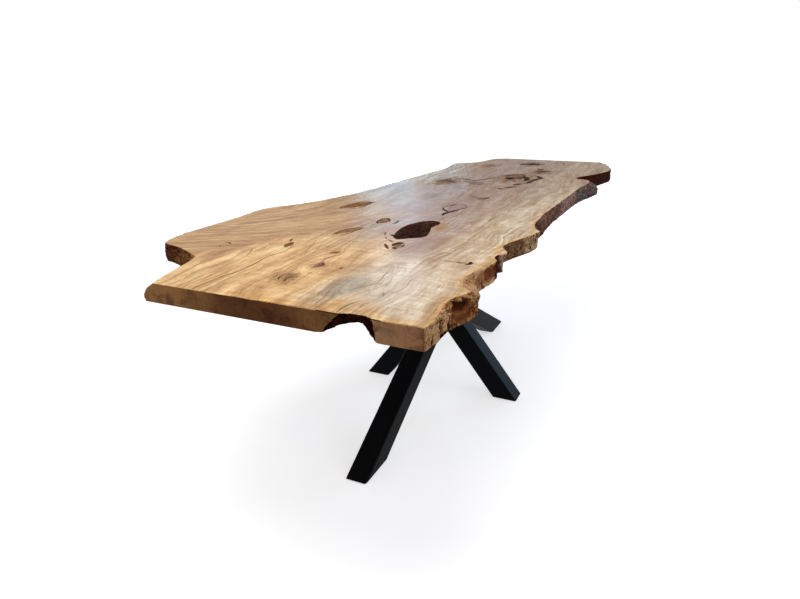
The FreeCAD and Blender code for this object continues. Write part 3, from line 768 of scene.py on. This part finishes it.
class Value:
    """A number or vector worked out inside a material, for sums written as usual."""

    def __init__(self, graph, socket):
        self.graph, self.socket = graph, socket

    def __add__(self, other):
        return self.graph.math("ADD", self, other)

    def __sub__(self, other):
        return self.graph.math("SUBTRACT", self, other)

    def __rsub__(self, other):
        return self.graph.math("SUBTRACT", other, self)

    def __mul__(self, other):
        return self.graph.math("MULTIPLY", self, other)

    def __truediv__(self, other):
        return self.graph.math("DIVIDE", self, other)

    def __pow__(self, other):
        return self.graph.math("POWER", self, other)

    def __abs__(self):
        return self.graph.math("ABSOLUTE", self)


class Graph:
    """The shader nodes of one material or world, linked as they are made."""

    def __init__(self, name, kind="materials"):
        self.owner = getattr(bpy.data, kind).new(name)
        self.owner.use_nodes = True
        self.tree = self.owner.node_tree
        self.tree.nodes.clear()

    def add(self, kind, inputs, output=0, **settings):
        """Makes a node and returns its output as a Value, or several where asked.

        An input is a Value, a number, a tuple of numbers or a colour as #RRGGBB.
        """
        node = self.tree.nodes.new("ShaderNode" + kind)
        for name, value in settings.items():
            setattr(node, name, value)
        for key, value in inputs.items():
            if isinstance(value, Value):
                self.tree.links.new(value.socket, node.inputs[key])
            else:
                node.inputs[key].default_value = rgba(value) if isinstance(value, str) else value
        if isinstance(output, tuple):
            return [Value(self, node.outputs[key]) for key in output]
        return Value(self, node.outputs[output]) if node.outputs else None

    def math(self, operation, first, second=0.0):
        return self.add("Math", {0: first, 1: second}, operation=operation)

    def noise(self, vector, scale, detail=3.0, rough=0.5, twist=0.0):
        """Noise at one scale, or at three scales along the axes."""
        if isinstance(scale, tuple):
            vector = self.add("VectorMath", {0: vector, 1: scale}, operation="MULTIPLY")
            scale = 1.0
        inputs = {
            "Vector": vector, "Scale": scale, "Detail": detail,
            "Roughness": rough, "Distortion": twist,
        }
        return self.add("TexNoise", inputs, "Fac")

    def step(self, value, low, high, at_low=0.0, at_high=1.0):
        """A smooth step from one value to another."""
        inputs = {
            "Value": value, "From Min": low, "From Max": high,
            "To Min": at_low, "To Max": at_high,
        }
        return self.add("MapRange", inputs, interpolation_type="SMOOTHSTEP")

    def mix(self, share, first, second, blend="MIX"):
        inputs = {0: share, 6: first, 7: second}
        return self.add("Mix", inputs, 2, data_type="RGBA", blend_type=blend)

    def between(self, share, first, second):
        """A plain number between two numbers."""
        return self.add("Mix", {0: share, 2: first, 3: second}, data_type="FLOAT")

    def attribute(self, name, output):
        return self.add("Attribute", {}, output, attribute_name=name)

    def shade(self, colour, factor, warm=0.0):
        """A colour made darker or lighter, and warmer the darker it gets."""
        tint = {0: factor ** (1 - warm), 1: factor, 2: factor ** (1 + warm)}
        return self.mix(1.0, colour, self.add("CombineColor", tint), "MULTIPLY")

    def ridge(self, value, width):
        """1 on thin lines where a noise crosses its middle, 0 away from them."""
        return self.step(abs(value - 0.5), 0.0, width, 1.0, 0.0)

    def bump(self, height, strength, distance, normal=None):
        inputs = {"Height": height, "Strength": strength, "Distance": distance}
        if normal:
            inputs["Normal"] = normal
        return self.add("Bump", inputs)

    def position(self):
        return self.add("TexCoord", {}, "Object")

    def split(self, vector):
        return self.add("SeparateXYZ", {0: vector}, (0, 1, 2))

    def finish(self, **inputs):
        """Ends in a Principled shader with these inputs, spaces written as underscores."""
        named = {name.replace("_", " "): value for name, value in inputs.items()}
        self.add("OutputMaterial", {"Surface": self.add("BsdfPrincipled", named)})
        return self.owner


# Wood colours
HONEY = "#E1BA84"
CREAM = "#CFC0A9"
HEARTWOOD = "#A88E84"
HEART_PURPLE = "#7C6662"
FAR_TAN = "#A28050"
BRANCH_TAN = "#BA9569"
SEAM_PINK = "#AC7C54"
SAP_GOLD = "#DCAE66"
LINE_BROWN = "#80542C"
FLECK_BROWN = "#6E4A2A"
STREAK_GREY = "#78746C"
# pale cream of the wood near the right corner, with a painted sheen of a window over it
CREAM_AND_SHEEN = "#D8CFBE"
ROSE = "#8C6248"
SPLIT_RED = "#521E10"
END_LEFT = "#A47442"
END_MIDDLE = "#603616"
END_INNER = "#855C33"
END_RIGHT = "#AE7E57"
END_GREY = "#5E5644"
END_CLOUD = "#553417"
END_RED = "#4A200E"
END_CRACK = "#3A150B"
WARMTH = 0.28  # how much redder the wood's own shading is than grey

# Round zones of the top in plan, and one of the near end across and up: middle, reach
ROSE_ZONE = ((-0.62, -0.24), (0.16, 0.09))
# the pale zone is partly pale wood and partly a painted sheen on the near right
PALE_SHEEN_ZONE = ((-0.93, -0.315), (0.20, 0.115))
SWIRL_ZONE = ((-0.92, -0.25), (0.26, 0.11))
GREY_ZONE = ((-0.975, -0.215), (0.10, 0.05))
END_GREY_ZONE = ((-0.40, 0.742), (0.045, 0.018))


def grain_pattern(g, coordinates, ripple):
    """The grain's bands, growth lines, hair lines, fine streaks, flecks and clouds."""
    shift = g.add("CombineXYZ", {1: ripple})
    grain = g.add("VectorMath", {0: coordinates, 1: shift}, operation="ADD")
    bands = g.noise(grain, (1.2, 24.0, 24.0), 3.0, 0.55)
    bend = g.noise(grain, (1.9, 8.5, 8.5), 2.0, 0.5)
    ring = g.math("FRACT", g.split(grain)[1] * 50.0 + bend * 7.0)
    fade = g.step(g.noise(grain, (2.6, 15.0, 15.0), 2.0), 0.38, 0.66)
    growth = g.step(ring, 0.35, 0.93) * g.step(ring, 0.94, 1.0, 1.0, 0.0) * fade
    hair = g.ridge(g.noise(grain, (2.4, 75.0, 75.0), 4.0, 0.6), 0.035)
    fine = g.noise(grain, (9.0, 330.0, 330.0), 4.0, 0.62)
    flecks = g.step(g.noise(grain, (38.0, 300.0, 300.0), 2.0, 0.6), 0.58, 0.70)
    cloud = g.noise(grain, (7.0, 30.0, 30.0), 6.0, 0.70)
    return bands, growth, hair, fine, flecks, cloud


def seam_distance(x, y, wander):
    """How far a point lies beyond the seam, on the branch's side of it."""
    seam = SEAM_END - SEAM_START
    away = Vector((-seam.y, seam.x)).normalized()
    return x * away.x + y * away.y - away.dot(SEAM_START) + (wander - 0.5) * 0.12


def draw_marks(g, place, grain, colour):
    """The marks over the wood's colour, and how much they cover."""
    from_outline, blur, wide = g.split(g.attribute("mark_outline", "Vector"))
    coarse = g.noise(place, 55.0, 3.0, 0.6) - 0.5
    small = g.noise(place, 260.0, 3.0, 0.6) - 0.5
    streak = g.noise(grain, (22.0, 170.0, 170.0), 4.0, 0.62)
    ragged = (coarse * 1.3 + small * 0.55) * (wide * 0.25 + blur)
    distance = from_outline + ragged + (streak - 0.5) * (blur * 5.0)
    soft = blur + 0.0006
    fill_tone, fill_share = g.attribute("mark_fill", ("Color", "Alpha"))
    fill = g.step(distance / soft, 1.0, -1.0) * fill_share * g.step(streak, 0.34, 0.60, 1.0, 0.80)
    rim_tone, rim_share = g.attribute("mark_rim", ("Color", "Alpha"))
    broken = g.step(g.noise(place, 75.0, 2.0), 0.36, 0.50)
    rim = g.step(abs(distance) - soft * 0.3, 0.0003, 0.0020, 1.0, 0.0) * broken * rim_share
    halo = g.step(from_outline + coarse * 0.03, 0.0, 0.030, 0.30, 0.0)
    colour = g.mix(halo, colour, SEAM_PINK)
    speckle = g.step(small + coarse * 0.6, -0.14, 0.14, 0.66, 1.16)
    colour = g.mix(fill, colour, g.shade(fill_tone, speckle, WARMTH))
    return g.mix(rim, colour, rim_tone), g.math("MAXIMUM", fill, rim)


def draw_lines(g, place, colour):
    """The cracks and growth lines over the wood's colour, and how much they cover."""
    ragged = g.noise(place, 210.0, 3.0, 0.65) - 0.5
    away = g.attribute("line_away", "Fac") + ragged * 1.3
    tone, strong = g.attribute("line_tone", ("Color", "Alpha"))
    share = g.step(away, 0.60, 1.55, 1.0, 0.0) * strong
    return g.mix(share, colour, tone), share


def near_place(g, x, y, zone, wander):
    """1 in the middle of a round zone, 0 outside it."""
    (middle_x, middle_y), (reach_x, reach_y) = zone
    dx = (x - middle_x) / reach_x
    dy = (y - middle_y) / reach_y
    return g.step(dx * dx + dy * dy + wander * 1.2, 0.2, 1.1, 1.0, 0.0)


def wood_colour(g, x, y, across, bands, zones):
    """The slow changes of colour along and across the slab."""
    near = g.step(x + zones * 0.5, -0.80, 0.20, 1.0, 0.0)
    colour = g.mix(near, FAR_TAN, HONEY)
    strip = g.step(y + zones * 0.12, -0.24, -0.10, 0.75, 0.0) * g.step(x, 0.0, 0.60, 1.0, 0.45)
    colour = g.mix(strip, colour, CREAM)
    heart = g.step(abs(across + 0.10) + zones * 0.20, 0.08, 0.28, 1.0, 0.0)
    heart = heart * g.step(x, -0.80, -0.30)
    colour = g.mix(heart * 0.70, colour, HEARTWOOD)
    purple = heart * g.step(bands, 0.44, 0.60)
    return g.mix(purple * 0.55, colour, HEART_PURPLE)


def bark_pattern(g, place, fine, rough):
    """The live edge's colour, the fine grain of its bark and the bark's spots."""
    grain = g.noise(place, (60.0, 60.0, 170.0), 5.0, 0.68, 0.8)
    spots = g.noise(place, 170.0, 4.0, 0.65)
    furrows = g.ridge(g.noise(place, (34.0, 34.0, 80.0), 4.0, 0.6, 1.0), 0.05)
    tone = g.step(grain + spots * 0.6, 0.56, 1.04, 0.35, 1.65)
    barky = g.step(rough, 0.20, 0.90, 0.16, 1.0)
    bark = g.shade(g.attribute("edge_tone", "Vector"), g.between(barky, 1.0, tone))
    bark = g.shade(bark, g.step(furrows * barky, 0.0, 1.0, 1.0, 0.40), WARMTH)
    bark = g.shade(bark, g.step(fine, 0.30, 0.70, 0.80, 1.12), WARMTH)
    splits = g.ridge(g.noise(place, (70.0, 70.0, 32.0), 3.0, 0.6, 0.9), 0.060)
    clusters = g.step(g.noise(place, 34.0, 2.0), 0.45, 0.56)
    bark = g.mix(splits * clusters, bark, SPLIT_RED)
    specks = g.step(g.noise(place, 200.0, 3.0, 0.6), 0.54, 0.62, 0.0, 0.9)
    return g.mix(specks * clusters, bark, SPLIT_RED), grain, spots


def slab_wood():
    g = Graph("slab_wood")
    place = g.position()
    x, y, _ = g.split(place)
    zones = g.noise(place, (2.2, 5.0, 5.0)) - 0.5
    sway = g.noise(place, 8.0, 2.0) - 0.5
    ripple = sway * 0.034 + (g.noise(place, 30.0, 2.0) - 0.5) * 0.011
    trunk = g.attribute("grain_trunk", "Vector")
    branch = g.attribute("grain_branch", "Vector")
    beyond = seam_distance(x, y, g.noise(place, 11.0))
    before_join = g.step(x, BRANCH_JOIN - 0.1, BRANCH_JOIN + 0.1, 1.0, 0.0)
    share = g.step(beyond, -0.012, 0.028) * before_join
    pairs = zip(grain_pattern(g, trunk, ripple), grain_pattern(g, branch, ripple))
    bands, growth, hair, fine, flecks, cloud = (g.between(share, a, b) for a, b in pairs)

    colour = wood_colour(g, x, y, g.split(trunk)[1], bands, zones)
    colour = g.mix(share * 0.85, colour, BRANCH_TAN)
    seam = g.step(abs(beyond), 0.0, 0.075, 0.5, 0.0)
    colour = g.mix(seam * before_join, colour, SEAM_PINK)
    rosy = g.step(g.noise(place, (6.0, 15.0, 6.0), 3.0, 0.6), 0.50, 0.72, 0.0, 0.45)
    colour = g.mix(rosy, colour, SEAM_PINK)
    sap = g.step(g.attribute("from_edge", "Fac") + zones * 0.05, 0.002, 0.040, 0.65, 0.0)
    sap = sap * g.step(x, -0.55, 0.10, 1.0, 0.25) * g.step(y, 0.0, 0.25, 1.0, 0.15)
    colour = g.mix(sap, colour, SAP_GOLD)

    far = g.step(x, -0.65, 0.10)
    colour = g.shade(colour, g.step(bands, 0.30, 0.68, g.between(far, 0.78, 0.68), 1.16), WARMTH)
    colour = g.shade(colour, g.step(cloud, 0.30, 0.66, g.between(far, 0.70, 0.58), 1.20), WARMTH)
    curl = g.noise(place, (62.0, 13.0, 13.0), 4.0, 0.62, 0.5)
    curl_dark = g.step(y, -0.05, 0.15, 0.80, 0.92)
    colour = g.shade(colour, g.step(curl, 0.34, 0.62, curl_dark, 1.08), WARMTH)
    # pale cream that is partly painted sheen; growth and hair lines are drawn weaker under it
    pale = near_place(g, x, y, PALE_SHEEN_ZONE, zones)
    colour = g.mix(pale * 0.34, colour, CREAM_AND_SHEEN)
    colour = g.mix(near_place(g, x, y, ROSE_ZONE, zones) * 0.72, colour, ROSE)
    drawn = g.step(pale, 0.0, 1.0, 1.0, 0.35)
    colour = g.mix(growth * drawn * 0.55, colour, LINE_BROWN)
    broken = g.step(g.noise(place, (13.0, 20.0, 13.0), 3.0, 0.6), 0.46, 0.64)
    colour = g.mix(hair * (broken * drawn) * 0.62, colour, LINE_BROWN)
    colour = g.shade(colour, g.step(fine, 0.32, 0.68, 0.82, 1.10), WARMTH)
    colour = g.mix(flecks * 0.40, colour, FLECK_BROWN)
    stain = g.ridge(g.noise(place, (6.0, 15.0, 6.0), 3.0, 0.6, 0.8), 0.022)
    colour = g.mix(stain * near_place(g, x, y, SWIRL_ZONE, zones) * 0.35, colour, STREAK_GREY)
    colour = g.mix(near_place(g, x, y, GREY_ZONE, zones) * 0.45, colour, STREAK_GREY)

    colour, marked = draw_marks(g, place, trunk, colour)
    colour, lined = draw_lines(g, place, colour)
    marked = g.math("MAXIMUM", marked, lined)

    rough = g.attribute("edge_rough", "Fac")
    bark, bark_grain, bark_spots = bark_pattern(g, place, fine, rough)
    cover = g.step(g.attribute("edge_cover", "Fac") + bark_grain * 0.25, 0.35, 0.75)
    colour = g.mix(cover, colour, bark)

    normal = g.bump(fine * 0.5 + bands * 0.5 - growth * 0.25, 0.22, 0.0012)
    normal = g.bump(1.0 - marked, 0.35, 0.0010, normal)
    normal = g.bump((bark_grain + bark_spots) * (cover * rough), 0.9, 0.007, normal)
    polish = g.between(marked, g.step(fine + cloud * 0.6, 0.5, 1.1, 0.33, 0.20), 0.95)
    roughness = g.between(cover, polish, g.step(bark_spots, 0.3, 0.7, 0.98, 0.80))
    return g.finish(
        Base_Color=colour, Roughness=roughness, Normal=normal, Specular_IOR_Level=0.02,
    )


def end_grain():
    g = Graph("end_grain")
    place = g.position()
    _, y, z = g.split(place)
    clouds = g.noise(place, (1.0, 9.0, 16.0), 4.0, 0.6, 0.6)
    rays = g.noise(place, (1.0, 34.0, 22.0), 6.0, 0.68, 2.2)
    pores = g.noise(place, 900.0, 2.0, 0.6)
    red = g.noise(place, (1.0, 20.0, 26.0), 4.0, 0.6, 0.5)

    shifted = y + (clouds - 0.5) * 0.16
    middle = g.step(abs(shifted + 0.06), 0.07, 0.17, 1.0, 0.0)
    colour = g.mix(g.step(y, -0.36, -0.30), END_RIGHT, END_INNER)
    colour = g.mix(g.step(shifted, -0.06, 0.08), colour, END_LEFT)
    colour = g.mix(middle * 0.9, colour, END_MIDDLE)
    colour = g.mix(near_place(g, y, z, END_GREY_ZONE, clouds) * 0.5, colour, END_GREY)
    colour = g.mix(g.step(clouds, 0.46, 0.66, 0.0, 0.5), colour, END_CLOUD)
    colour = g.mix(g.step(red, 0.50, 0.64, 0.0, 0.60), colour, END_RED)
    colour = g.shade(colour, g.step(rays, 0.32, 0.66, 0.82, 1.14), WARMTH)
    colour = g.shade(colour, g.step(pores, 0.3, 0.6, 0.88, 1.04))
    crack = g.ridge(g.noise(place, (1.0, 34.0, 20.0), 3.0, 0.6, 1.5), 0.030)
    crack = crack * (g.step(red, 0.44, 0.56) * middle)
    colour = g.mix(crack * 0.85, colour, END_CRACK)
    return g.finish(
        Base_Color=colour, Roughness=g.step(pores, 0.3, 0.7, 0.62, 0.48),
        Normal=g.bump(rays + pores, 0.25, 0.0008), Specular_IOR_Level=0.08,
    )


def powder_coat():
    g = Graph("powder_coat")
    place = g.position()
    grain = g.noise(place, 1500.0, 2.0, 0.6)
    orange_peel = g.noise(place, 320.0, 2.0, 0.5)
    clouds = g.noise(place, 14.0, 4.0, 0.6)
    colour = g.shade("#050608", g.step(clouds, 0.35, 0.65, 0.85, 1.15))
    dust = g.step(clouds + grain * 0.2, 0.62, 0.85, 0.0, 0.25)
    colour = g.mix(dust, colour, "#0E1114")
    return g.finish(
        Base_Color=colour, Roughness=g.step(grain, 0.3, 0.7, 0.48, 0.62),
        Normal=g.bump(grain * 0.5 + orange_peel, 0.22, 0.0004), Specular_IOR_Level=0.05,
    )


def zinc():
    g = Graph("zinc")
    place = g.position()
    spangle = g.add("TexVoronoi", {"Vector": place, "Scale": 420.0}, "Color")
    brushed = g.noise(place, (900.0, 900.0, 60.0), 2.0, 0.6)
    colour = g.shade("#B8BCC0", g.step(g.split(spangle)[0], 0.0, 1.0, 0.82, 1.05))
    return g.finish(
        Base_Color=colour, Metallic=1.0, Roughness=g.step(brushed, 0.3, 0.7, 0.30, 0.48),
        Normal=g.bump(brushed, 0.15, 0.0003),
    )


def brass():
    g = Graph("brass")
    place = g.position()
    knurl = g.noise(place, (700.0, 700.0, 1400.0), 2.0)
    tarnish = g.noise(place, 120.0)
    colour = g.mix(g.step(tarnish, 0.4, 0.7), "#C9A35A", "#8E6E3A")
    return g.finish(
        Base_Color=colour, Metallic=1.0, Roughness=g.step(knurl, 0.3, 0.7, 0.32, 0.5),
        Normal=g.bump(knurl, 0.3, 0.0004),
    )


def rubber():
    g = Graph("rubber")
    place = g.position()
    grain = g.noise(place, 1100.0, 2.0, 0.7)
    scuffs = g.noise(place, 60.0, 4.0, 0.6)
    colour = g.mix(g.step(scuffs, 0.5, 0.75), "#1B1B1C", "#38383A")
    return g.finish(
        Base_Color=colour, Roughness=g.step(scuffs, 0.3, 0.7, 0.75, 0.9),
        Normal=g.bump(grain, 0.4, 0.0004), Specular_IOR_Level=0.3,
    )


def dress(nodes, material):
    """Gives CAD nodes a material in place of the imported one."""
    for name in nodes:
        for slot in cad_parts[name].material_slots:
            slot.material = material


# =========================================================================== studio

# The camera stands where the photographer stood.
CAMERA_PLACE = Vector((-2.1306, -0.9163, 1.2250))
CAMERA_YAW = 26.1  # degrees left of +X
CAMERA_PITCH = -20.5
CAMERA_ROLL = -1.3
IMAGE_WIDTH = 800
FOCAL_PIXELS = 620.7
SENSOR = 36.0

AMBIENT = 0.40
FLOOR_SIZE = 40.0
FLOOR_GLOW = 0.62  # the floor's own light beside the table
GLOW_FROM = 1.4  # from here outwards it brightens
GLOW_TO = 4.5  # and from here on it is white by itself

# Lamps: where each stands, what it faces, its size, watts and colour. The windows stand
# where the photograph's sheens on the top and on the right leg call for them.
Lamp = namedtuple("Lamp", "place target width height power colour")
LAMPS = {
    "overhead": Lamp((-0.9, 0.1, 3.0), (-0.5, 0.0, 0.7), 2.4, 2.2, 45.5, "#FFFBF4"),
    "low_window": Lamp((2.53, 1.50, 1.20), (0.3, 0.32, 0.76), 0.54, 0.14, 2.9, "#9AD6F8"),
    "far_window": Lamp((2.53, 1.00, 1.08), (0.6, 0.20, 0.76), 0.50, 0.10, 0.9, "#9AD6F8"),
    "mid_window": Lamp((2.53, 1.24, 1.48), (-0.3, -0.04, 0.76), 0.28, 0.14, 0.9, "#B0D2FF"),
    "high_window": Lamp((2.53, 1.36, 2.06), (-0.90, -0.32, 0.76), 0.54, 0.32, 3.8, "#D6E6FF"),
    "side": Lamp((0.4, -3.4, 2.2), (0.0, -0.3, 0.5), 2.4, 1.6, 17.0, "#E4EEFF"),
    "leg_window": Lamp((4.4, -2.55, 1.05), (0.0, -0.25, 0.3), 1.8, 1.1, 80.0, "#A8CAF8"),
}


def place_camera():
    yaw, pitch, roll = (math.radians(a) for a in (CAMERA_YAW, CAMERA_PITCH, CAMERA_ROLL))
    ahead = Vector((
        math.cos(yaw) * math.cos(pitch), math.sin(yaw) * math.cos(pitch), math.sin(pitch)
    ))
    right = Vector((math.sin(yaw), -math.cos(yaw), 0))
    up = right.cross(ahead)
    tilted_right = right * math.cos(roll) + up * math.sin(roll)
    tilted_up = up * math.cos(roll) - right * math.sin(roll)
    data = bpy.data.cameras.new("camera")
    data.sensor_width = SENSOR
    data.lens = FOCAL_PIXELS * SENSOR / IMAGE_WIDTH
    camera = link(bpy.data.objects.new("camera", data))
    turn = Matrix((tilted_right, tilted_up, -ahead)).transposed()
    camera.matrix_world = Matrix.Translation(CAMERA_PLACE) @ turn.to_4x4()
    bpy.context.scene.camera = camera


def soft_light(name, lamp):
    data = bpy.data.lights.new(name, "AREA")
    data.shape = "ELLIPSE"
    data.size = lamp.width
    data.size_y = lamp.height
    data.energy = lamp.power
    data.color = linear(lamp.colour)
    light = link(bpy.data.objects.new(name, data))
    light.location = lamp.place
    towards = Vector(lamp.target) - Vector(lamp.place)
    light.rotation_euler = towards.to_track_quat("-Z", "Y").to_euler()


def seen_directly(g):
    """1 for rays from the camera, off polish and through glass, 0 for all other light."""
    kinds = ("Is Camera Ray", "Is Transmission Ray", "Is Glossy Ray")
    camera, through, glossy = g.add("LightPath", {}, kinds)
    return g.math("MAXIMUM", g.math("MAXIMUM", camera, through), glossy)


def white_room():
    """A pale world that the camera and reflections see as white."""
    g = Graph("white_room", "worlds")
    bpy.context.scene.world = g.owner
    ambient = g.add("Background", {"Color": "#F4F6FF", "Strength": AMBIENT})
    white = g.add("Background", {"Color": "#FFFFFF", "Strength": 1.0})
    choose = g.add("MixShader", {0: seen_directly(g), 1: ambient, 2: white})
    g.add("OutputWorld", {"Surface": choose})


def pale_floor():
    """A white floor that keeps the table's soft shadow."""
    g = Graph("pale_floor")
    colour = g.mix(g.step(g.noise(g.position(), 3.0), 0.3, 0.7), "#E4E4E2", "#E8E8E6")
    plain = g.add("BsdfDiffuse", {"Color": colour})
    away = g.add("VectorMath", {0: g.position()}, "Value", operation="LENGTH")
    strength = g.step(away, GLOW_FROM, GLOW_TO, FLOOR_GLOW, 1.0)
    glow = g.add("Emission", {"Color": "#FFFFFF", "Strength": strength})
    bright = g.add("AddShader", {0: plain, 1: glow})
    choose = g.add("MixShader", {0: seen_directly(g), 1: plain, 2: bright})
    g.add("OutputMaterial", {"Surface": choose})
    bm = bmesh.new()
    bmesh.ops.create_grid(bm, x_segments=8, y_segments=8, size=FLOOR_SIZE / 2)
    mesh = bpy.data.meshes.new("floor")
    bm.to_mesh(mesh)
    bm.free()
    mesh.materials.append(g.owner)
    floor = link(bpy.data.objects.new("floor", mesh))


# ============================================================================ pieces

slab_piece()
STEEL = [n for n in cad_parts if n.endswith(("_tube", "_mount_plate", "_foot_plate"))]
GLIDES = [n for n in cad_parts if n.endswith("_foot_glide")]
dress(STEEL, powder_coat())
dress(GLIDES, rubber())
dress(["slab_screws", "screw_washers"], zinc())
dress(["threaded_inserts"], brass())
place_camera()
white_room()
pale_floor()
for lamp_name, lamp in LAMPS.items():
    soft_light(lamp_name, lamp)
bpy.context.scene.view_settings.view_transform = "Standard"
